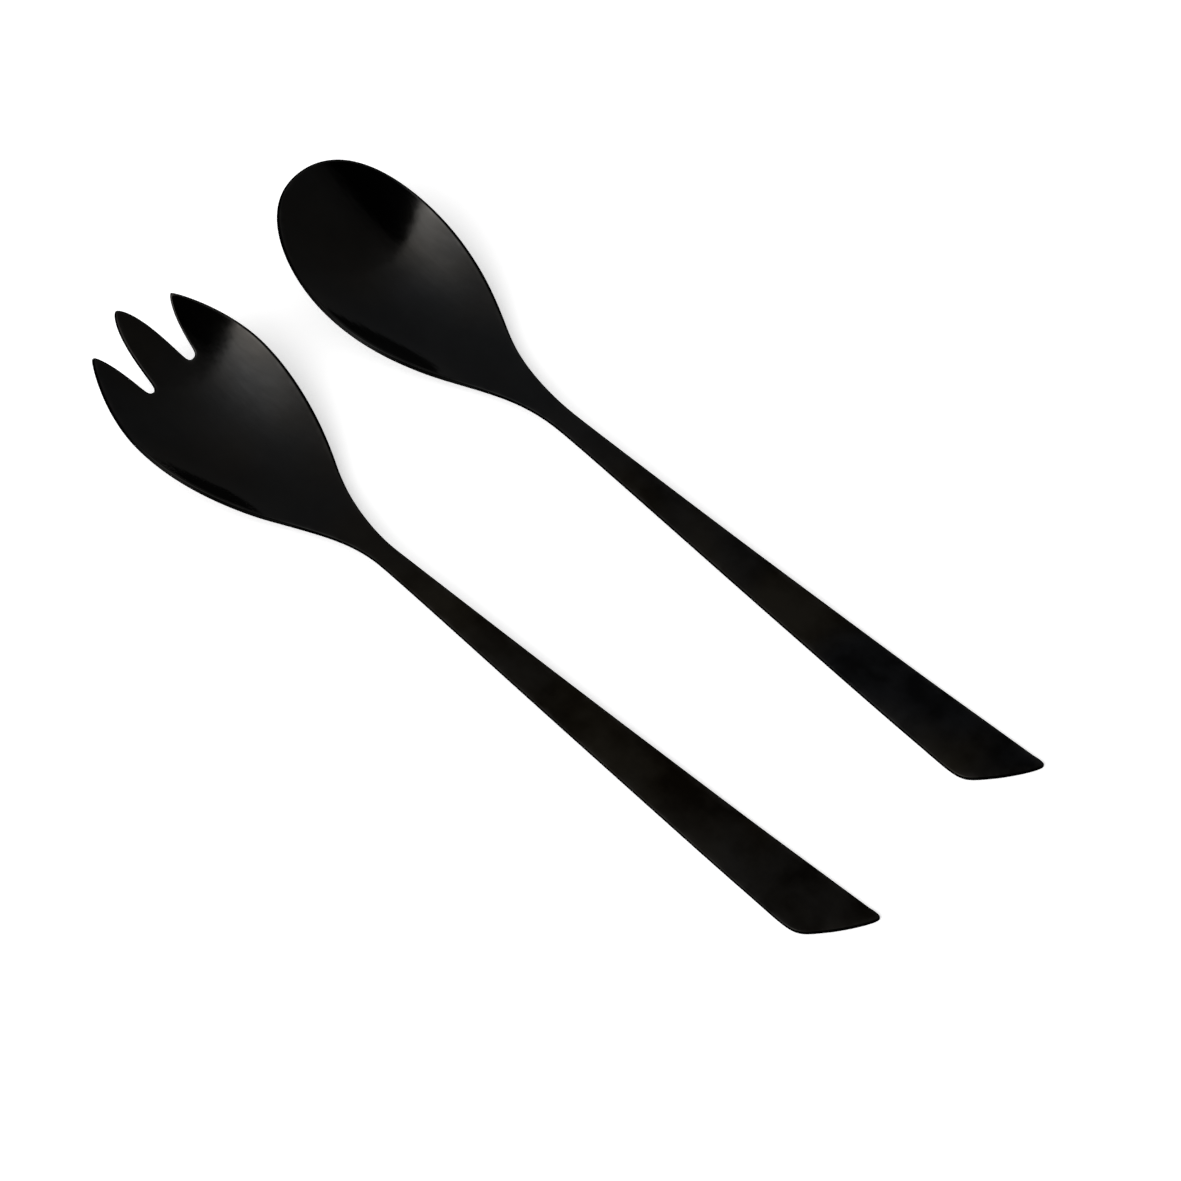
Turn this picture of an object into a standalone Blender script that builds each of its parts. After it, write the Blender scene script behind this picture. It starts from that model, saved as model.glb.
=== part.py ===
"""A pair of salad servers: a three-tined serving fork and a serving spoon, each pressed from one steel sheet.

Each piece is made the way the real one is. A flat plate is cut to the outline of the blank, then every
point of it is carried onto the curved surface of the press. X runs from the handle end to the bowl, Y is
across, Z is up, and both pieces lie on the ground on a bowl and a handle end. Metres throughout.
"""

import math

import bmesh
import bpy
import numpy as np

MM = 0.001
SHEET = 1.5 * MM  # thickness of the steel
BOWL_START = 150.0 * MM  # forward of this the sheet is dished across
FORK_Y = 29.0 * MM  # where the axis of the fork lies
SPOON_X = -3.25 * MM  # how far the spoon's handle end stands behind the fork's
SPOON_Y = -29.0 * MM
SPOON_YAW = math.radians(-0.65)  # the two are laid down nearly parallel
CURVE_STEPS = 8  # straight pieces in each stretch of outline

# Outline points in mm: x, y, heading in degrees, and the reach of the curve behind and ahead of the point.
HANDLE_SIDE = [(28.5, 7.77, -2.25, 17.1, 14.9)]
HANDLE_CUT = [
    (3.8, -8.74, -177.75, 17.4, 0.5),  # end of the other long edge
    (0.0, -8.15, 90.0, 1.3, 1.8),  # tight corner
    (6.35, 1.97, 49.0, 2.3, 9.9),  # slanting end, slightly bowed
]
FORK_SIDE = [
    (153.9, 2.93, 0.0, 10.4, 12.3),  # neck
    (182.2, 10.8, 28.1, 2.3, 6.7),  # shoulder
    (218.9, 21.6, 0.0, 14.9, 12.4),  # widest
    (242.5, 13.5, -90.0, 0.6, 0.6),  # tip of a side tine
    (235.8, 9.9, -164.1, 4.8, 5.7),  # inner edge of a side tine
    (228.9, 7.0, -90.0, 1.9, 1.9),  # bottom of the slot
    (237.9, 4.6, -9.3, 7.1, 8.3),  # edge of the middle tine
]
FORK_TIP = (248.3, 0.0, -90.0, 0.6, 0.6)
SPOON_SIDE = [
    (151.1, 3.02, 0.0, 15.0, 14.0),  # neck
    (180.4, 9.75, 24.4, 4.5, 6.15),  # shoulder
    (217.2, 20.6, 0.0, 17.0, 15.8),  # widest
]
SPOON_TIP = (246.1, 0.0, -90.0, 12.8, 12.8)

# Height in mm of the upper surface along the centre line, and how steeply the dish rises to each side.
HANDLE_RISE = [(30, 1.5), (60, 2.15), (90, 3.15), (120, 4.5), (145, 5.65), (165, 5.5), (182, 2.8)]
FORK_RISE = HANDLE_RISE + [(203, 1.9), (225, 8.65), (250, 22.0)]
SPOON_RISE = HANDLE_RISE + [(203, 1.97), (225, 9.85), (250, 27.0)]
FORK_DISH = [(150, 0.0), (165, 0.0036), (180, 0.0180), (200, 0.0200), (225, 0.0140), (250, 0.0140)]
SPOON_DISH = [(150, 0.0), (165, 0.0056), (180, 0.0200), (200, 0.0218), (225, 0.0158), (250, 0.0146)]


def clear_scene():
    for obj in list(bpy.data.objects):
        bpy.data.objects.remove(obj, do_unlink=True)


def collection(name, hidden=False):
    made = bpy.data.collections.new(name)
    bpy.context.scene.collection.children.link(made)
    made.hide_render = hidden
    return made


def smooth_curve(knots, at):
    """Value at each x of the cubic spline through the knots, level at its first knot and held before it."""
    x, y = np.array(knots, float).T
    step = np.diff(x)
    rise = np.diff(y) / step
    count = len(x)
    matrix = np.zeros((count, count))
    right = np.zeros(count)
    matrix[0, 0], matrix[0, 1], right[0] = 2 * step[0], step[0], 6 * rise[0]
    for i in range(1, count - 1):
        matrix[i, i - 1 : i + 2] = step[i - 1], 2 * (step[i - 1] + step[i]), step[i]
        right[i] = 6 * (rise[i] - rise[i - 1])
    matrix[-1, -1] = 1.0
    bend = np.linalg.solve(matrix, right)
    held = np.clip(at, x[0], None)
    i = np.clip(np.searchsorted(x, held) - 1, 0, count - 2)
    ahead, behind = x[i + 1] - held, held - x[i]
    cubes = (bend[i] * ahead**3 + bend[i + 1] * behind**3) / (6 * step[i])
    lines = (y[i] / step[i] - bend[i] * step[i] / 6) * ahead
    return cubes + lines + (y[i + 1] / step[i] - bend[i + 1] * step[i] / 6) * behind


def press_height(rise, dish, x, y):
    """Height of the upper surface of the pressed sheet."""
    curl = np.where(x < BOWL_START, 0.0, smooth_curve(dish, x / MM))
    return (smooth_curve(rise, x / MM) + curl * (y / MM) ** 2) * MM


def press(mesh, rise, dish):
    """Carries each point of a flat plate onto the pressed surface, keeping its depth below that surface."""
    flat = np.empty(len(mesh.vertices) * 3)
    mesh.vertices.foreach_get("co", flat)
    x, y, depth = flat.reshape(-1, 3).T
    reach = 0.05 * MM
    slope_x = press_height(rise, dish, x + reach, y) - press_height(rise, dish, x - reach, y)
    slope_y = press_height(rise, dish, x, y + reach) - press_height(rise, dish, x, y - reach)
    normal = np.stack([-slope_x, -slope_y, np.full(len(x), 2 * reach)], axis=1)
    normal /= np.linalg.norm(normal, axis=1, keepdims=True)
    pressed = np.stack([x, y, press_height(rise, dish, x, y)], axis=1) + normal * depth[:, None]
    mesh.vertices.foreach_set("co", pressed.ravel())


def whole_outline(side, tip):
    """The closed outline, from one side of the piece and the point where it crosses the axis."""
    other = [(x, -y, 180.0 - heading, ahead, behind) for x, y, heading, behind, ahead in reversed(side)]
    return HANDLE_SIDE + side + [tip] + other + HANDLE_CUT


def outline_prism(name, points, home):
    """A tall prism with the outline of a blank."""
    data = bpy.data.curves.new(name, "CURVE")
    data.dimensions = "2D"
    data.fill_mode = "BOTH"
    data.extrude = 5 * SHEET
    data.resolution_u = CURVE_STEPS
    spline = data.splines.new("BEZIER")
    spline.bezier_points.add(len(points) - 1)
    spline.use_cyclic_u = True
    for node, (x, y, heading, behind, ahead) in zip(spline.bezier_points, points):
        along = np.array([math.cos(math.radians(heading)), math.sin(math.radians(heading)), 0.0])
        place = np.array([x, y, 0.0])
        node.handle_left_type = "FREE"
        node.handle_right_type = "FREE"
        node.co = place * MM
        node.handle_left = (place - along * behind) * MM
        node.handle_right = (place + along * ahead) * MM
    curve = bpy.data.objects.new(name + "_curve", data)
    home.objects.link(curve)
    bpy.context.view_layer.update()
    prism = bpy.data.objects.new(name, bpy.data.meshes.new_from_object(curve))
    bpy.data.objects.remove(curve, do_unlink=True)
    home.objects.link(prism)
    tidy = bmesh.new()
    tidy.from_mesh(prism.data)
    bmesh.ops.remove_doubles(tidy, verts=tidy.verts, dist=1e-6)
    bmesh.ops.recalc_face_normals(tidy, faces=tidy.faces)
    tidy.to_mesh(prism.data)
    tidy.free()
    prism.hide_render = True
    prism.display_type = "WIRE"
    return prism


def flat_plate(name, home):
    """A rectangular plate below z = 0, scored in squares that are small where the bowl will be."""
    columns = list(np.arange(-6.0, 146.0, 10.1)) + list(np.arange(150.0, 254.0, 2.6))
    rows = np.arange(-11, 12) * 2.3
    steel = bmesh.new()
    bmesh.ops.create_grid(steel, x_segments=len(columns) - 1, y_segments=len(rows) - 1, size=1.0)
    for vert in steel.verts:
        vert.co.x = columns[round((vert.co.x + 1) / 2 * (len(columns) - 1))] * MM
        vert.co.y = rows[round((vert.co.y + 1) / 2 * (len(rows) - 1))] * MM
    data = bpy.data.meshes.new(name)
    steel.to_mesh(data)
    steel.free()
    plate = bpy.data.objects.new(name, data)
    home.objects.link(plate)
    thicken = plate.modifiers.new("thickness", "SOLIDIFY")
    thicken.thickness = SHEET
    thicken.offset = -1.0
    return plate


def black_steel(name, roughness):
    made = bpy.data.materials.new(name)
    made.use_nodes = True
    shader = made.node_tree.nodes["Principled BSDF"]
    shader.inputs["Base Color"].default_value = (0.02, 0.02, 0.022, 1.0)
    shader.inputs["Metallic"].default_value = 1.0
    shader.inputs["Roughness"].default_value = roughness
    return made


def pressed_piece(name, side, tip, rise, dish, homes, roughness):
    """One server: a plate cut to its outline, pressed to shape."""
    servers, cutters = homes
    piece = flat_plate(name, servers)
    cut = piece.modifiers.new("blank", "BOOLEAN")
    cut.operation = "INTERSECT"
    cut.solver = "EXACT"
    cut.object = outline_prism(name + "_blank", whole_outline(side, tip), cutters)
    bpy.context.view_layer.update()
    depsgraph = bpy.context.evaluated_depsgraph_get()
    data = bpy.data.meshes.new_from_object(piece.evaluated_get(depsgraph))
    piece.modifiers.clear()
    shape = bmesh.new()
    shape.from_mesh(data)
    bmesh.ops.remove_doubles(shape, verts=shape.verts, dist=2e-5)
    bmesh.ops.dissolve_degenerate(shape, edges=shape.edges, dist=2e-5)
    bmesh.ops.triangulate(shape, faces=shape.faces)
    shape.to_mesh(data)
    shape.free()
    press(data, rise, dish)
    data.materials.clear()
    data.materials.append(black_steel(name + "_steel", roughness))
    data.shade_smooth()
    data.set_sharp_from_angle(angle=math.radians(35))
    piece.data = data
    return piece


def centre_on_ground(pieces):
    """Puts the middle of the pair's box over the origin, with its lowest point on the ground."""
    bpy.context.view_layer.update()
    corners = []
    for piece in pieces:
        flat = np.empty(len(piece.data.vertices) * 3)
        piece.data.vertices.foreach_get("co", flat)
        world = np.array(piece.matrix_world)
        corners.append(flat.reshape(-1, 3) @ world[:3, :3].T + world[:3, 3])
    low, high = np.concatenate(corners).min(axis=0), np.concatenate(corners).max(axis=0)
    for piece in pieces:
        piece.location.x -= (low[0] + high[0]) / 2
        piece.location.y -= (low[1] + high[1]) / 2
        piece.location.z -= low[2]


def main():
    clear_scene()
    homes = (collection("salad_servers"), collection("cutters", hidden=True))
    fork = pressed_piece("serving_fork", FORK_SIDE, FORK_TIP, FORK_RISE, FORK_DISH, homes, 0.34)
    spoon = pressed_piece("serving_spoon", SPOON_SIDE, SPOON_TIP, SPOON_RISE, SPOON_DISH, homes, 0.36)
    fork.location = (0.0, FORK_Y, 0.0)
    spoon.location = (SPOON_X, SPOON_Y, 0.0)
    spoon.rotation_euler = (0.0, 0.0, SPOON_YAW)
    centre_on_ground([fork, spoon])


main()
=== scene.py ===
import math

import bmesh
import bpy
import numpy as np
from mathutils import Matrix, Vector
from mathutils.geometry import delaunay_2d_cdt


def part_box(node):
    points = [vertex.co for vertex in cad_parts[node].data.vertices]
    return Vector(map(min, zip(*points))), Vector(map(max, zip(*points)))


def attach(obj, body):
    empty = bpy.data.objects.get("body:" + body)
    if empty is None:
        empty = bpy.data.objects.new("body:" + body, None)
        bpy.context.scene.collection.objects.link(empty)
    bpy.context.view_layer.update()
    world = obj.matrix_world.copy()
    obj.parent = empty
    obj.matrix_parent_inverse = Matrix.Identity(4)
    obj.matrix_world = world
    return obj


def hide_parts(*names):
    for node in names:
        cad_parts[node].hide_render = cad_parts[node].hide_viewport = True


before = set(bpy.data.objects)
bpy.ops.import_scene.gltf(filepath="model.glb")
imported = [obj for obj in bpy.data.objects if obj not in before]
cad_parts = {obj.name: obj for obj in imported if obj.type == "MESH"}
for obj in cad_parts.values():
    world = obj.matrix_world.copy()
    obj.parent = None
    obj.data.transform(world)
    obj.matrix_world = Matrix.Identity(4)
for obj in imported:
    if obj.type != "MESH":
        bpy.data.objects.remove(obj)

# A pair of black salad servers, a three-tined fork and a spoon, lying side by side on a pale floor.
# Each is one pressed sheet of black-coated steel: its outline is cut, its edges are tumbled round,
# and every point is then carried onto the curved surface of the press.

MM = 0.001
SHEET = 1.5  # thickness of the steel, mm
EDGE_RADIUS = 0.42  # rounding of the tumbled edges, mm
EDGE_STEPS = 5  # rings in each rounded edge
CROWN = 0.16  # how far the long edges of a handle fall below its middle, mm
BOWL_START = 150.0  # forward of this the sheet is dished across, mm
CROWN_FADE = 30.0  # the crown dies away over this length behind the bowl, mm
HALF_HANDLE = 8.0  # half the width of a handle near its end, mm
SPOON_YAW = math.radians(-0.65)  # the two are laid down nearly parallel
LONGEST_LEG = 1.5  # longest straight piece of a sampled outline, mm
SHARPEST_TURN = math.radians(7.0)  # and how far it may turn from one piece to the next
FILL = ((2.0, -1e9, 146.0), (1.1, 146.0, 1e9))  # spacing of the points in a face, from x to x, mm
EDGE_GAP = 0.55  # how far those points keep from its edge, as a share of their spacing
RIM_FADE = 0.7  # how quickly the look of the edge fades inward, mm
NECK, NECK_FADE = 170.0, 40.0  # the look of the handle starts here and is full this much further back, mm

# Outline points in mm: x, y, heading in degrees, and the reach of the curve behind and ahead of the point.
HANDLE_SIDE = [(28.5, 7.77, -2.25, 17.1, 14.9)]
HANDLE_CUT = [
    (3.8, -8.74, -177.75, 17.4, 0.5),  # end of the other long edge
    (0.0, -8.15, 90.0, 1.3, 1.8),  # tight corner
    (6.35, 1.97, 49.0, 2.3, 9.9),  # slanting end, slightly bowed
]
FORK_SIDE = [
    (153.9, 2.93, 0.0, 10.4, 12.3),  # neck
    (182.2, 10.8, 28.1, 2.3, 6.7),  # shoulder
    (218.9, 21.6, 0.0, 14.9, 12.4),  # widest
    (242.5, 13.5, -90.0, 0.6, 0.6),  # tip of a side tine
    (235.8, 9.9, -164.1, 4.8, 5.7),  # inner edge of a side tine
    (228.9, 7.0, -90.0, 1.9, 1.9),  # bottom of the slot
    (237.9, 4.6, -9.3, 7.1, 8.3),  # edge of the middle tine
]
FORK_TIP = (248.3, 0.0, -90.0, 0.6, 0.6)
SPOON_SIDE = [
    (151.1, 3.02, 0.0, 15.0, 14.0),  # neck
    (180.4, 9.75, 24.4, 4.5, 6.15),  # shoulder
    (217.2, 20.6, 0.0, 17.0, 15.8),  # widest
]
SPOON_TIP = (246.1, 0.0, -90.0, 12.8, 12.8)

# Height in mm of the upper surface along the centre line, and how steeply the dish rises to each side.
HANDLE_RISE = [(30, 1.5), (60, 2.15), (90, 3.15), (120, 4.5), (145, 5.65), (165, 5.5), (182, 2.8)]
FORK_RISE = HANDLE_RISE + [(203, 1.9), (225, 8.65), (250, 22.0)]
SPOON_RISE = HANDLE_RISE + [(203, 1.97), (225, 9.85), (250, 27.0)]
FORK_DISH = [(150, 0.0), (165, 0.0036), (180, 0.0180), (200, 0.0200), (225, 0.0140), (250, 0.0140)]
SPOON_DISH = [(150, 0.0), (165, 0.0056), (180, 0.0200), (200, 0.0218), (225, 0.0158), (250, 0.0146)]


# ---------------------------------------------------------------- shape


def smooth_curve(knots, at):
    """Value at each x of the cubic spline through the knots, level at its first knot and held before it."""
    x, y = np.array(knots, float).T
    step = np.diff(x)
    rise = np.diff(y) / step
    count = len(x)
    matrix = np.zeros((count, count))
    right = np.zeros(count)
    matrix[0, 0], matrix[0, 1], right[0] = 2 * step[0], step[0], 6 * rise[0]
    for i in range(1, count - 1):
        matrix[i, i - 1 : i + 2] = step[i - 1], 2 * (step[i - 1] + step[i]), step[i]
        right[i] = 6 * (rise[i] - rise[i - 1])
    matrix[-1, -1] = 1.0
    bend = np.linalg.solve(matrix, right)
    held = np.clip(at, x[0], None)
    i = np.clip(np.searchsorted(x, held) - 1, 0, count - 2)
    ahead, behind = x[i + 1] - held, held - x[i]
    cubes = (bend[i] * ahead**3 + bend[i + 1] * behind**3) / (6 * step[i])
    lines = (y[i] / step[i] - bend[i] * step[i] / 6) * ahead
    return cubes + lines + (y[i + 1] / step[i] - bend[i + 1] * step[i] / 6) * behind


def press_height(rise, dish, x, y):
    """Height of the press's surface, mm."""
    curl = np.where(x < BOWL_START, 0.0, smooth_curve(dish, x))
    return smooth_curve(rise, x) + curl * y**2


def crown(x, y):
    """How far the upper surface of a handle falls away towards its long edges, mm."""
    return CROWN * (y / HALF_HANDLE) ** 2 * np.clip((BOWL_START - x) / CROWN_FADE, 0.0, 1.0)


def unit(vectors):
    """The vectors made one long."""
    return vectors / np.maximum(np.linalg.norm(vectors, axis=1, keepdims=True), 1e-12)


def pressed(rise, dish, x, y, depth):
    """Where the point at (x, y) and that depth in the flat blank comes to after pressing, mm."""
    reach = 0.05
    slope_x = press_height(rise, dish, x + reach, y) - press_height(rise, dish, x - reach, y)
    slope_y = press_height(rise, dish, x, y + reach) - press_height(rise, dish, x, y - reach)
    normal = unit(np.stack([-slope_x, -slope_y, np.full(len(x), 2 * reach)], axis=1))
    return np.stack([x, y, press_height(rise, dish, x, y)], axis=1) - normal * depth[:, None]


def surface_axes(rise, dish, x, y, depth_of):
    """The directions along x, along y and out of the pressed surface at each point."""
    reach = 0.02
    along = pressed(rise, dish, x + reach, y, depth_of(x + reach, y))
    along = along - pressed(rise, dish, x - reach, y, depth_of(x - reach, y))
    across = pressed(rise, dish, x, y + reach, depth_of(x, y + reach))
    across = across - pressed(rise, dish, x, y - reach, depth_of(x, y - reach))
    return unit(along), unit(across), unit(np.cross(along, across))


def whole_outline(side, tip):
    """The points of a closed outline: one long edge, the tip, the other long edge and the slanting end."""
    other = [(x, -y, 180.0 - heading, ahead, behind) for x, y, heading, behind, ahead in reversed(side)]
    return HANDLE_SIDE + side + [tip] + other + HANDLE_CUT


def sampled_outline(points):
    """Places and inward directions round the closed outline, close together where it turns."""
    places, inwards = [], []
    t = np.linspace(0.0, 1.0, 401)[:, None]
    for first, second in zip(points, points[1:] + points[:1]):
        ends = []
        for x, y, heading, behind, ahead in (first, second):
            way = np.array([math.cos(math.radians(heading)), math.sin(math.radians(heading))])
            ends.append((np.array([x, y]), way * behind, way * ahead))
        (a, _, a_reach), (d, d_reach, _) = ends
        b, c = a + a_reach, d - d_reach
        path = a * (1 - t) ** 3 + 3 * b * t * (1 - t) ** 2 + 3 * c * t**2 * (1 - t) + d * t**3
        speed = 3 * ((b - a) * (1 - t) ** 2 + 2 * (c - b) * t * (1 - t) + (d - c) * t**2)
        heading = np.unwrap(np.arctan2(speed[:, 1], speed[:, 0]))
        cost = np.linalg.norm(np.diff(path, axis=0), axis=1) / LONGEST_LEG
        cost = np.concatenate([[0.0], np.cumsum(cost + np.abs(np.diff(heading)) / SHARPEST_TURN)])
        count = max(3, math.ceil(cost[-1]))
        at = np.linspace(0.0, cost[-1], count + 1)[:-1]
        heading = np.interp(at, cost, heading)
        places.append(np.stack([np.interp(at, cost, path[:, 0]), np.interp(at, cost, path[:, 1])], axis=1))
        inwards.append(np.stack([np.sin(heading), -np.cos(heading)], axis=1))
    return np.concatenate(places), np.concatenate(inwards)


def outline_distance(points, outline):
    """Distance from each point to the closed outline, mm."""
    leg = np.roll(outline, -1, axis=0) - outline
    size = np.maximum((leg**2).sum(axis=1), 1e-12)
    nearest = np.full(len(points), 1e9)
    for first in range(0, len(points), 500):
        some = points[first : first + 500, None, :] - outline[None]
        share = np.clip((some * leg[None]).sum(axis=2) / size[None], 0.0, 1.0)
        gap = some - share[..., None] * leg[None]
        nearest[first : first + 500] = np.sqrt((gap**2).sum(axis=2)).min(axis=1)
    return nearest


def inset(outline, inward, reach):
    """The outline moved inward, and for each point the index of the one it shares a place with.
    In a tip too tight for the reach, the whole run of points comes to one place."""
    moved = outline + inward * reach
    leader = np.arange(len(outline))
    if reach < 1e-6:
        return moved, leader
    bad = outline_distance(moved, outline) < reach * 0.99
    legs, moved_legs = (np.roll(line, -1, axis=0) - line for line in (outline, moved))
    backward = (legs * moved_legs).sum(axis=1) <= 0.0
    bad |= backward | np.roll(backward, 1)
    if not bad.any():
        return moved, leader
    bad |= np.roll(bad, 1) | np.roll(bad, -1)
    first_good = int(np.argmin(bad))
    order = (np.arange(len(outline)) + first_good) % len(outline)
    run = []
    for i in list(order) + [first_good]:
        if bad[i]:
            run.append(i)
        elif run:
            before = (run[0] - 1) % len(outline)
            moved[run + [before, i]] = (moved[before] + moved[i]) / 2
            leader[run + [i]] = before
            run = []
    return moved, leader


def inside(points, ring):
    """Whether each point is inside the closed ring."""
    found = np.zeros(len(points), bool)
    x, y = points.T
    for (ax, ay), (bx, by) in zip(ring, np.roll(ring, -1, axis=0)):
        crosses = (ay > y) != (by > y)
        with np.errstate(divide="ignore", invalid="ignore"):
            found ^= crosses & (x < (bx - ax) * (y - ay) / (by - ay) + ax)
    return found


def lattice(low, high, spacing, start, end):
    """Points of a triangular lattice in the box, with start <= x < end."""
    rows = np.arange(low[1], high[1], spacing * math.sqrt(0.75))
    found = []
    for i, row in enumerate(rows):
        columns = np.arange(low[0] + (i % 2) * spacing / 2, high[0], spacing)
        columns = columns[(columns >= start) & (columns < end)]
        found.append(np.stack([columns, np.full(len(columns), row)], axis=1))
    return np.concatenate(found)


def filled_ring(ring):
    """Points inside the ring, and triangles over it and them: (points, triangles) with the ring first."""
    low, high = ring.min(axis=0), ring.max(axis=0)
    chosen = []
    for spacing, start, end in FILL:
        some = lattice(low, high, spacing, start, end)
        some = some[inside(some, ring)]
        chosen.append(some[outline_distance(some, ring) > spacing * EDGE_GAP])
    points = np.concatenate([ring] + chosen)
    legs = [(i, (i + 1) % len(ring)) for i in range(len(ring))]
    _, _, faces, origins, _, _ = delaunay_2d_cdt([Vector(p) for p in points], legs, [], 0, 1e-7, True)
    triangles = np.array([[origins[i][0] for i in face] for face in faces])
    a, b, c = (points[triangles[:, i]] for i in range(3))
    turned = np.cross(b - a, c - a) < 0
    triangles[turned] = triangles[turned][:, ::-1]
    return points, triangles[inside((a + b + c) / 3, ring)].tolist()


def server(name, points, rise, dish, yaw, node):
    """One pressed server as a closed mesh, over the CAD node's box."""
    outline, inward = sampled_outline(points)
    angles = np.linspace(90.0, 0.0, EDGE_STEPS + 1)
    flat, depth, side, lean, rings = [], [], [], [], []
    total = 0

    def add(places, depths, sides, leans):
        """Adds points by place, depth, face (1 upper, -1 lower) and normal, and gives their numbers."""
        nonlocal total
        flat.append(places)
        depth.append(np.broadcast_to(depths, len(places)))
        side.append(np.full(len(places), sides))
        lean.append(np.broadcast_to(leans, (len(places), 3)) if np.ndim(leans) == 1 else leans)
        total += len(places)
        return np.arange(total - len(places), total)

    # The rings of the rounded edge, from the inner edge of the upper face round to that of the lower one.
    for sides, turns in ((1, angles), (-1, angles[::-1])):
        for angle in np.radians(turns):
            places, leader = inset(outline, inward, EDGE_RADIUS * (1 - math.cos(angle)))
            kept = np.unique(leader)
            out = -inward[kept] * math.cos(angle)
            tight = EDGE_RADIUS * (1 - math.sin(angle))
            leans = np.column_stack([out, np.full(len(kept), math.sin(angle))])
            ids = np.full(len(outline), -1)
            ids[kept] = add(places[kept], tight if sides > 0 else SHEET - tight, sides, leans)
            rings.append(ids[leader])

    # The two faces, filled over the innermost rings.
    edge = [rings[0], rings[-1]]
    members = [np.unique(ids, return_index=True)[1] for ids in edge]
    ring_ids = [ids[np.sort(first)] for ids, first in zip(edge, members)]
    ring = np.concatenate(flat)[ring_ids[0]]
    filled, triangles = filled_ring(ring)
    new = filled[len(ring) :]
    upright = np.array([0.0, 0.0, 1.0])
    face_ids = []
    for sides, ids in ((1, ring_ids[0]), (-1, ring_ids[1])):
        face_ids.append(np.concatenate([ids, add(new, 0.0 if sides > 0 else SHEET, sides, upright)]))

    flat, depth = np.concatenate(flat), np.concatenate(depth)
    side, lean = np.concatenate(side), np.concatenate(lean)
    x, y = flat.T
    depth = depth + np.where(side > 0, crown(x, y), 0.0) * np.clip(1 - depth / SHEET, 0.0, 1.0)
    place = pressed(rise, dish, x, y, depth)
    upper = surface_axes(rise, dish, x, y, crown)
    lower = surface_axes(rise, dish, x, y, lambda a, b: np.full(len(a), SHEET))
    along, across, out = (np.where(side[:, None] > 0, u, v) for u, v in zip(upper, lower))
    normal = lean[:, :1] * along + lean[:, 1:2] * across + lean[:, 2:] * side[:, None] * out

    turn = np.array([[math.cos(yaw), -math.sin(yaw), 0], [math.sin(yaw), math.cos(yaw), 0], [0, 0, 1]])
    place, normal = place @ turn.T * MM, unit(normal) @ turn.T
    low, high = (np.array(corner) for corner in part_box(node))
    shift = (low + high) / 2 - (place.min(axis=0) + place.max(axis=0)) / 2
    place += np.array([shift[0], shift[1], low[2] - place[:, 2].min()])

    shape = bmesh.new()
    verts = [shape.verts.new(p) for p in place]
    for first, second in zip(rings, rings[1:]):
        for i in range(len(outline)):
            j = (i + 1) % len(outline)
            corners = list(dict.fromkeys([first[i], first[j], second[j], second[i]]))
            if len(corners) > 2:
                shape.faces.new([verts[k] for k in corners])
    for ids, triangle_way in zip(face_ids, (1, -1)):
        for triangle in triangles:
            shape.faces.new([verts[ids[k]] for k in triangle[::triangle_way]])
    for face in shape.faces:
        face.smooth = True
    data = bpy.data.meshes.new(name)
    shape.to_mesh(data)
    shape.free()
    fields = {
        "rim": np.exp(-outline_distance(flat, outline) / RIM_FADE),  # 1 on the edge
        "handle": np.clip((NECK - x) / NECK_FADE, 0.0, 1.0),  # 1 behind the neck
        "across": np.clip(y / HALF_HANDLE, -1.0, 1.0),  # from one long edge of the handle to the other
    }
    for field, values in fields.items():
        layer = data.attributes.new(field, "FLOAT", "POINT")
        layer.data.foreach_set("value", values.astype(np.float32))
    data.normals_split_custom_set_from_vertices(normal.tolist())
    made = bpy.data.objects.new(name, data)
    bpy.context.scene.collection.objects.link(made)
    return made


# ---------------------------------------------------------------- material

MOST = (0.3, 0.7)  # nearly all the values of a noise lie between these
BLOTCH_ROUGH = (0.09, 0.13)  # roughness from blotch to blotch, to which the others add
HAZE_ROUGH = 0.01
GRAIN_ROUGH = 0.015
EDGE_ROUGH = 0.15

# Reflectance of the coating seen straight on, red, green and blue.
FORK_TINT = (0.0142, 0.0138, 0.0134)
SPOON_TINT = (0.0140, 0.0140, 0.0141)
# Dark and light tones of the handle: the light one is partly random blotches, partly painted sheen along one
# long edge.
HANDLE_DARK = ((0.0036, 0.0037, 0.0039), (0.0044, 0.0033, 0.0019))  # cool, warm
HANDLE_LIGHT = ((0.0122, 0.0126, 0.0138), (0.0146, 0.0126, 0.0093))  # cool, warm
# Lighter tint of the hairline inside the edges: partly worn coating, partly a painted highlight.
WORN_AND_GLINT_TINT = (0.06, 0.058, 0.055)
# Painted shade: near-black colour of the edges, which gives the pieces a dark outline.
EDGE_SHADE_TINT = (0.002, 0.002, 0.002)
COOL, WARM = (0.97, 1.0, 1.03), (1.06, 1.0, 0.91)  # times the tint of the bowl
DARK, LIGHT = 0.85, 1.15
FORK_WARMTH = (0.55, 1.0)  # from the coolest to the warmest blotch of the handle
SPOON_WARMTH = (0.0, 0.9)

# Height of each kind of relief, metres.
GRAIN_RELIEF = 0.0000012
PORE_RELIEF = 0.0000009
SWELL_RELIEF = 0.00004
RIPPLE_RELIEF = 0.00006


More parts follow.
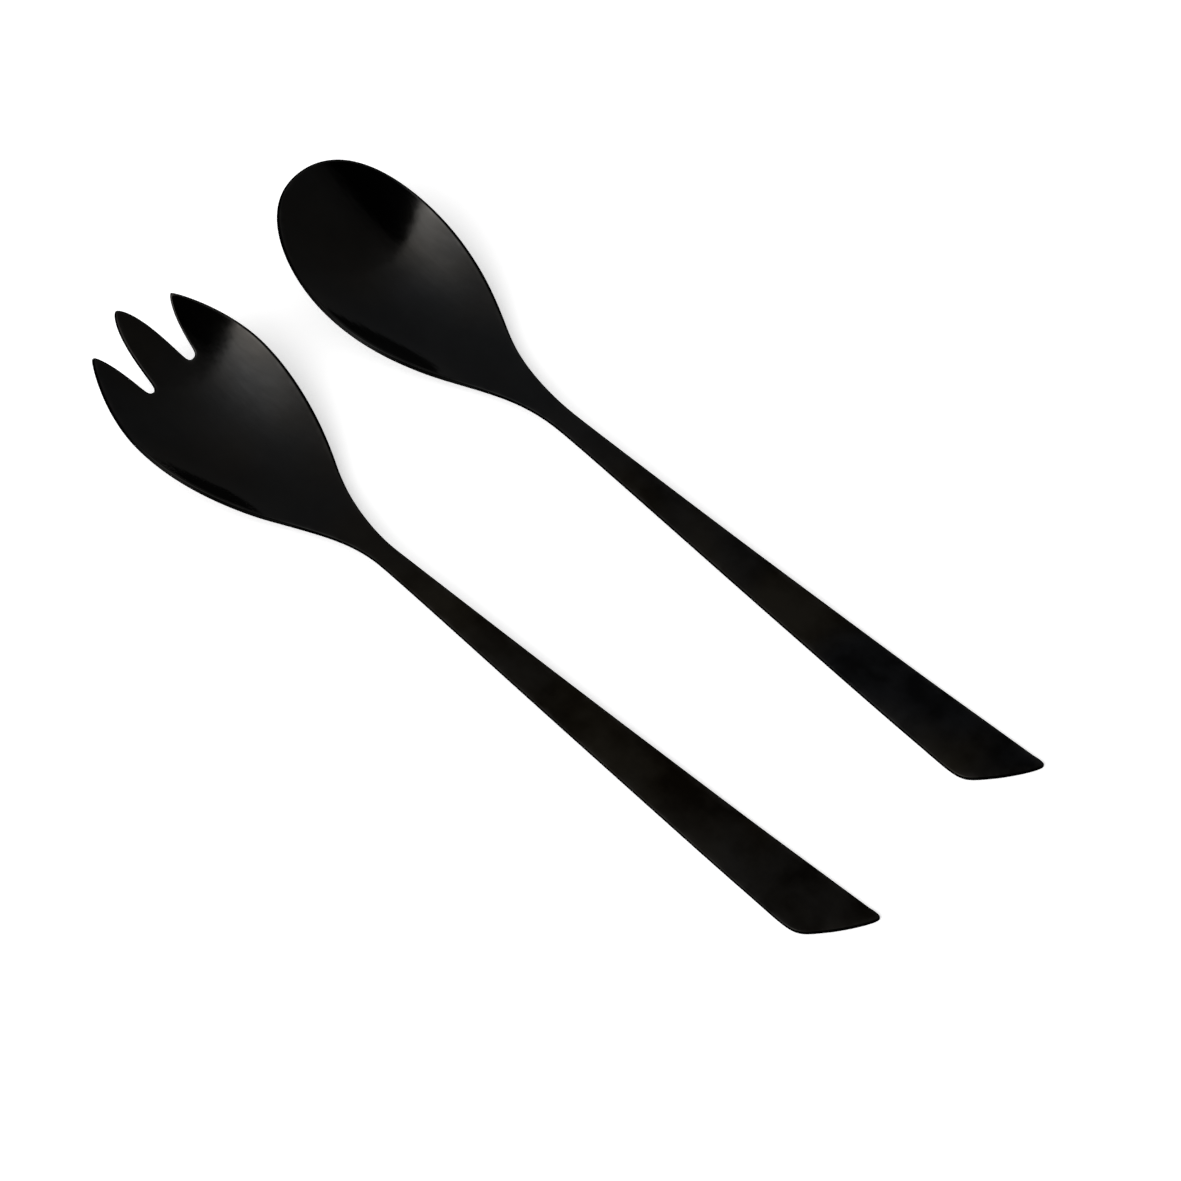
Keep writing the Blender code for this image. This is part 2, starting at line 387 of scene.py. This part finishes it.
class Nodes:
    """Short ways to add and link the nodes of one tree."""

    def __init__(self, tree):
        self.tree = tree

    def add(self, kind, settings=(), **inputs):
        """Adds a node. Its inputs are given as i0, i1 and so on by number, or by name with _ for a space."""
        node = self.tree.nodes.new(kind)
        for name, value in dict(settings).items():
            setattr(node, name, value)
        for name, value in inputs.items():
            numbered = name[0] == "i" and name[1:].isdigit()
            socket = node.inputs[int(name[1:]) if numbered else name.replace("_", " ")]
            if isinstance(value, bpy.types.NodeSocket):
                self.tree.links.new(value, socket)
            else:
                socket.default_value = value
        return node

    def math(self, operation, first, second=0.0, third=0.0, clamp=False):
        settings = {"operation": operation, "use_clamp": clamp}
        return self.add("ShaderNodeMath", settings, i0=first, i1=second, i2=third).outputs[0]

    def noise(self, vector, scale, detail=2.0, roughness=0.5, stretch=None):
        if stretch:
            vector = self.add("ShaderNodeMapping", Vector=vector, Scale=stretch).outputs[0]
        node = self.add("ShaderNodeTexNoise", Vector=vector, Scale=scale, Detail=detail, Roughness=roughness)
        return node.outputs["Fac"]

    def span(self, value, low, high, to_low, to_high, smooth=False):
        """The value carried from the range low..high to the range to_low..to_high, and held at its ends."""
        settings = {"interpolation_type": "SMOOTHSTEP" if smooth else "LINEAR"}
        ends = dict(From_Min=low, From_Max=high, To_Min=to_low, To_Max=to_high)
        return self.add("ShaderNodeMapRange", settings, Value=value, **ends).outputs[0]

    def between(self, share, low, high):
        """The colour that is a share of the way from low to high, each an output or red, green and blue."""
        low, high = (end if isinstance(end, bpy.types.NodeSocket) else (*end, 1.0) for end in (low, high))
        return self.add("ShaderNodeMix", {"data_type": "RGBA"}, i0=share, i6=low, i7=high).outputs[2]


def shaded(tint, cast, level):
    """The tint with a cast, made lighter or darker."""
    return [c * hue * level for c, hue in zip(tint, cast)]


def black_steel(name, tint, warmth, seed):
    """Black-coated steel: a satin grain along the piece, blotches that are strongest on the handle, a
    painted sheen along one long edge of the handle, dull edges painted dark as painted shade, and a lighter
    hairline inside them that is partly worn coating and partly a painted highlight."""
    made = bpy.data.materials.new(name)
    made.use_nodes = True
    tree = made.node_tree
    tree.nodes.clear()
    nodes = Nodes(tree)
    where = nodes.add("ShaderNodeTexCoord").outputs["Object"]
    where = nodes.add("ShaderNodeMapping", Vector=where, Location=(seed, 0.3 * seed, 0.0)).outputs[0]
    rim, handle, across = (
        nodes.add("ShaderNodeAttribute", {"attribute_name": field}).outputs["Fac"]
        for field in ("rim", "handle", "across")
    )

    blotch = nodes.noise(where, 38.0, detail=3.0, roughness=0.55)
    haze = nodes.noise(where, 210.0, detail=3.0, roughness=0.6)
    grain = nodes.noise(where, 1.0, detail=3.0, roughness=0.6, stretch=(90.0, 2600.0, 2600.0))
    pores = nodes.noise(where, 4200.0)
    swell = nodes.noise(where, 75.0)
    ripple = nodes.noise(where, 1.0, stretch=(110.0, 300.0, 150.0))
    # Mask of the edges: rougher, and painted dark as painted shade.
    edge_shade = nodes.span(rim, 0.62, 0.85, 0.0, 1.0)

    rough = nodes.span(blotch, *MOST, *BLOTCH_ROUGH)
    for field, either_way in ((haze, HAZE_ROUGH), (grain, GRAIN_ROUGH)):
        rough = nodes.math("ADD", rough, nodes.span(field, *MOST, -either_way, either_way))
    rough = nodes.math("MULTIPLY_ADD", edge_shade, EDGE_ROUGH, rough)

    shade = nodes.math("ADD", nodes.span(blotch, *MOST, 0.0, 0.6), nodes.span(haze, *MOST, 0.0, 0.4))
    warm = nodes.noise(where, 26.0)
    bowl_warm = nodes.span(warm, 0.38, 0.62, 0.0, 1.0)
    bowl_dark = nodes.between(bowl_warm, shaded(tint, COOL, DARK), shaded(tint, WARM, DARK))
    bowl_light = nodes.between(bowl_warm, shaded(tint, COOL, LIGHT), shaded(tint, WARM, LIGHT))
    bowl_colour = nodes.between(shade, bowl_dark, bowl_light)
    # Painted sheen: the handle is made lighter towards one long edge (across), as light falls on it; blotch
    # and haze add random tone.
    blotches_and_side_sheen = nodes.math("MULTIPLY_ADD", across, 0.35, nodes.span(blotch, 0.36, 0.64, 0.0, 0.85))
    blotches_and_side_sheen = nodes.math("ADD", blotches_and_side_sheen, nodes.span(haze, *MOST, -0.1, 0.3), clamp=True)
    handle_warm = nodes.span(warm, 0.4, 0.6, *warmth)
    handle_dark = nodes.between(handle_warm, *HANDLE_DARK)
    handle_light = nodes.between(handle_warm, *HANDLE_LIGHT)
    handle_colour = nodes.between(blotches_and_side_sheen, handle_dark, handle_light)
    colour = nodes.between(handle, bowl_colour, handle_colour)
    # A lighter hairline just inside the edges: partly worn coating, partly a painted highlight along the
    # rounded edge.
    hairline = nodes.span(rim, 0.25, 0.55, 0.0, 1.0)
    worn_and_glint = nodes.math("MULTIPLY", hairline, nodes.span(haze, 0.4, 0.65, 0.0, 0.15))
    colour = nodes.between(worn_and_glint, colour, WORN_AND_GLINT_TINT)
    # Painted shade: the edges darkened to near black.
    colour = nodes.between(nodes.math("MULTIPLY", edge_shade, 0.85), colour, EDGE_SHADE_TINT)

    relief = nodes.math("MULTIPLY", grain, GRAIN_RELIEF)
    for field, height in ((pores, PORE_RELIEF), (swell, SWELL_RELIEF), (ripple, RIPPLE_RELIEF)):
        relief = nodes.math("MULTIPLY_ADD", field, height, relief)
    bump = nodes.add("ShaderNodeBump", Height=relief, Strength=1.0, Distance=1.0)

    # The dull edges are kept from mirroring much at a low angle, so that they read as a dark outline:
    # painted shade.
    skim = nodes.between(edge_shade, (1.0, 1.0, 1.0), (0.05, 0.05, 0.05))
    look = dict(Base_Color=colour, Roughness=rough, Specular_Tint=skim, Normal=bump.outputs[0], Metallic=1.0)
    nodes.add("ShaderNodeOutputMaterial", Surface=nodes.add("ShaderNodeBsdfPrincipled", **look).outputs[0])
    return made


def floor_material():
    """Plain pale floor, lit from within a little so that it stays clean."""
    made = bpy.data.materials.new("pale_floor")
    made.use_nodes = True
    shader = made.node_tree.nodes["Principled BSDF"]
    shader.inputs["Base Color"].default_value = (0.92, 0.92, 0.92, 1.0)
    shader.inputs["Roughness"].default_value = 0.9
    shader.inputs["Specular IOR Level"].default_value = 0.1
    shader.inputs["Emission Color"].default_value = (1.0, 1.0, 1.0, 1.0)
    shader.inputs["Emission Strength"].default_value = 0.45
    return made


# ---------------------------------------------------------------- stage

CAMERA_HEADING = math.radians(-47.74)  # the way the camera looks, seen from above, from +X towards +Y
CAMERA_ELEVATION = math.radians(59.67)
CAMERA_REACH = 0.875  # distance to the point that it looks at
LENS, SENSOR = 106.7, 36.0  # mm
AIM = Vector((-0.01124, 0.00055, 0.0))
FLOOR_REACH = 6.0  # from the middle of the floor to each side

# The studio's light: azimuth, angle from the vertical and spread in degrees, with strengths after.
SIDE_GLOW, SIDE_STRENGTH = (259.0, 72.0, 23.9), 18.8
TOP_GLOW, TOP_STRENGTH = (0.0, 0.0, 45.6), 0.41
DIM = 0.15  # all round
SCREEN, SCREEN_FULL = (-89.7, 66.0, 44.2), 1.6  # the dark screen, and how far past full it is at its middle
SCREEN_EDGE = (-47.0, 108.6)  # the screen covers the half of the studio that lies this way
CRISP, SOFT = 0.03, 0.25  # half the width of that edge where the screen is darkest, and where it is faint
SCREEN_DARK = 0.995
PALE = 1.0  # strength where the camera looks straight at the studio


def direction(azimuth, zenith):
    """A direction from its azimuth, which goes from the camera's right towards straight ahead, and its
    angle from the vertical."""
    azimuth, zenith = math.radians(azimuth) + CAMERA_HEADING - math.pi / 2, math.radians(zenith)
    level = Vector((math.cos(azimuth), math.sin(azimuth), 0.0))
    return level * math.sin(zenith) + Vector((0.0, 0.0, math.cos(zenith)))


def studio_world():
    """The studio round the servers: dim grey, with a wide glow low on the camera's near left, a faint one
    overhead, and a dark screen on its near right. Looked at straight, it is as pale as the floor."""
    world = bpy.data.worlds.new("studio")
    bpy.context.scene.world = world
    world.use_nodes = True
    tree = world.node_tree
    tree.nodes.clear()
    nodes = Nodes(tree)
    way = nodes.add("ShaderNodeTexCoord").outputs["Generated"]

    def facing(azimuth, zenith):
        """Cosine of the angle from a direction."""
        dot = {"operation": "DOT_PRODUCT"}
        return nodes.add("ShaderNodeVectorMath", dot, i0=way, i1=direction(azimuth, zenith)).outputs["Value"]

    def glow(azimuth, zenith, spread):
        """1 in a direction, falling off round it."""
        off = nodes.math("SUBTRACT", 1.0, facing(azimuth, zenith))
        return nodes.math("EXPONENT", nodes.math("MULTIPLY", off, -1 / math.radians(spread) ** 2))

    def mixed(share, low, high):
        return nodes.add("ShaderNodeMix", {"data_type": "FLOAT"}, i0=share, i2=low, i3=high).outputs[0]

    light = nodes.math("MULTIPLY_ADD", glow(*SIDE_GLOW), SIDE_STRENGTH, DIM)
    light = nodes.math("MULTIPLY_ADD", glow(*TOP_GLOW), TOP_STRENGTH, light)
    deep = nodes.math("MULTIPLY", glow(*SCREEN), SCREEN_FULL, clamp=True)
    past = facing(*SCREEN_EDGE)
    crisp, soft = (nodes.span(past, -width, width, 0.0, 1.0, smooth=True) for width in (CRISP, SOFT))
    screen = nodes.math("MULTIPLY", mixed(deep, soft, crisp), nodes.math("MULTIPLY", deep, SCREEN_DARK))
    light = nodes.math("MULTIPLY", light, nodes.math("SUBTRACT", 1.0, screen))
    strength = mixed(nodes.add("ShaderNodeLightPath").outputs["Is Camera Ray"], light, PALE)
    back = nodes.add("ShaderNodeBackground", Color=(1.0, 1.0, 1.0, 1.0), Strength=strength)
    nodes.add("ShaderNodeOutputWorld", Surface=back.outputs[0])


def main():
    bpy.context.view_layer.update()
    fork_outline, spoon_outline = whole_outline(FORK_SIDE, FORK_TIP), whole_outline(SPOON_SIDE, SPOON_TIP)
    fork = server("black_serving_fork", fork_outline, FORK_RISE, FORK_DISH, 0.0, "serving_fork")
    spoon = server("black_serving_spoon", spoon_outline, SPOON_RISE, SPOON_DISH, SPOON_YAW, "serving_spoon")
    fork.data.materials.append(black_steel("fork_steel", FORK_TINT, FORK_WARMTH, 0.0))
    spoon.data.materials.append(black_steel("spoon_steel", SPOON_TINT, SPOON_WARMTH, 1.7))
    for piece, body in ((fork, "fork"), (spoon, "spoon")):
        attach(piece, body)
        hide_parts("serving_" + body)

    plane = bpy.data.meshes.new("floor")
    shape = bmesh.new()
    bmesh.ops.create_grid(shape, x_segments=1, y_segments=1, size=FLOOR_REACH)
    shape.to_mesh(plane)
    shape.free()
    plane.materials.append(floor_material())
    floor = bpy.data.objects.new("floor", plane)
    bpy.context.scene.collection.objects.link(floor)

    studio_world()

    view = bpy.data.cameras.new("camera")
    view.lens = LENS
    view.sensor_width = SENSOR
    view.clip_start, view.clip_end = 0.01, 50.0
    camera = bpy.data.objects.new("camera", view)
    back = direction(-90.0, 90.0 - math.degrees(CAMERA_ELEVATION))
    camera.location = AIM + back * CAMERA_REACH
    camera.rotation_euler = back.to_track_quat("Z", "Y").to_euler()
    bpy.context.scene.collection.objects.link(camera)
    bpy.context.scene.camera = camera
    bpy.context.scene.view_settings.view_transform = "Standard"


main()
